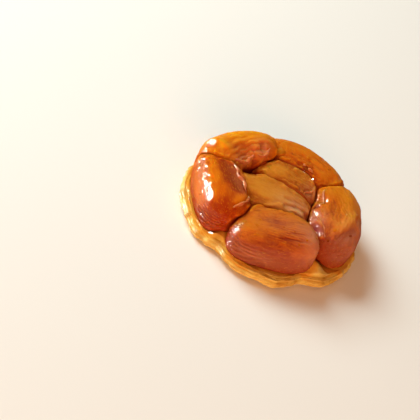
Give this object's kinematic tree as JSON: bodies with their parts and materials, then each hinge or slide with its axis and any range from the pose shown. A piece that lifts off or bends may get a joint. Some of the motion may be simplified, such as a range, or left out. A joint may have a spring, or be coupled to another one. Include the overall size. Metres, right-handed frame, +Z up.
{
  "type": "tatin tartlet",
  "caption": "Round upside-down tartlet: caramelised fruit quarters in a ring around centre wedges, on a disc of puff pastry with a wavy rim.",
  "frame": {"origin": "middle of the pastry's base, on the surface that the tartlet stands on", "axes": "+Z up through the fruit, -Y towards the front quarter, +X towards the right quarter"},
  "size_m": [0.1086, 0.1075, 0.031],
  "materials": {
    "baked_pastry": "baked golden puff pastry, flaky and slightly buttery",
    "amber_fruit": "translucent amber cooked fruit under a wet caramel glaze",
    "russet_fruit": "translucent red-brown cooked fruit under a wet caramel glaze",
    "ochre_fruit": "soft ochre cooked fruit with a thin caramel glaze",
    "caramel": "dark glossy caramel syrup"
  },
  "bodies": {
    "root": {"pastry": "baked_pastry", "fruit_back_left": "amber_fruit", "fruit_left": "amber_fruit", "fruit_front": "russet_fruit", "fruit_right": "russet_fruit", "fruit_back_right": "russet_fruit", "fruit_center_front": "ochre_fruit", "fruit_center_back": "ochre_fruit"}
  },
  "joints": []
}
